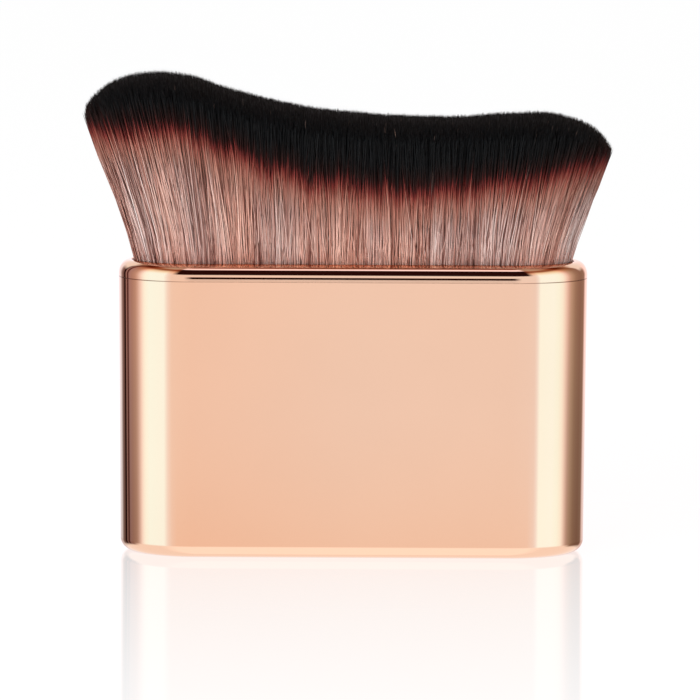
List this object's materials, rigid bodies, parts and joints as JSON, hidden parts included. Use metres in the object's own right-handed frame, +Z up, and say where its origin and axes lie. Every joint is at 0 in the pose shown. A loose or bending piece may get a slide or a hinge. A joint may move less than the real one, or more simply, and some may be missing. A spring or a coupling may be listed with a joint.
{
  "type": "makeup brush",
  "caption": "Wide body makeup brush with a plated stadium handle, a separate rim and a fanned head of soft filaments cut to a wave",
  "frame": {"origin": "centre of the handle's flat base, on the surface that the brush stands on", "axes": "+X along the handle's width towards the lower crest of the wave, +Y towards the back face, +Z up towards the tips"},
  "size_m": [0.0836, 0.0279, 0.077],
  "materials": {
    "handle_shell": "moulded plastic with mirror-bright rose-gold plating",
    "rim_bezel": "moulded plastic with mirror-bright rose-gold plating",
    "bristles": "satin synthetic filament, dyed from pink and taupe to black at the tips",
    "bristle_cup": "as moulded",
    "epoxy_bed": "cured resin",
    "root_band": "woven cotton tape",
    "counterweight": "sawn bar, unplated",
    "weight_tape": "closed-cell foam with adhesive faces"
  },
  "bodies": {
    "root": {"handle_shell": "handle_shell", "rim_bezel": "rim_bezel", "bristles": "bristles", "bristle_cup": "bristle_cup", "epoxy_bed": "epoxy_bed", "root_band": "root_band", "counterweight": "counterweight", "weight_tape": "weight_tape"}
  },
  "joints": []
}
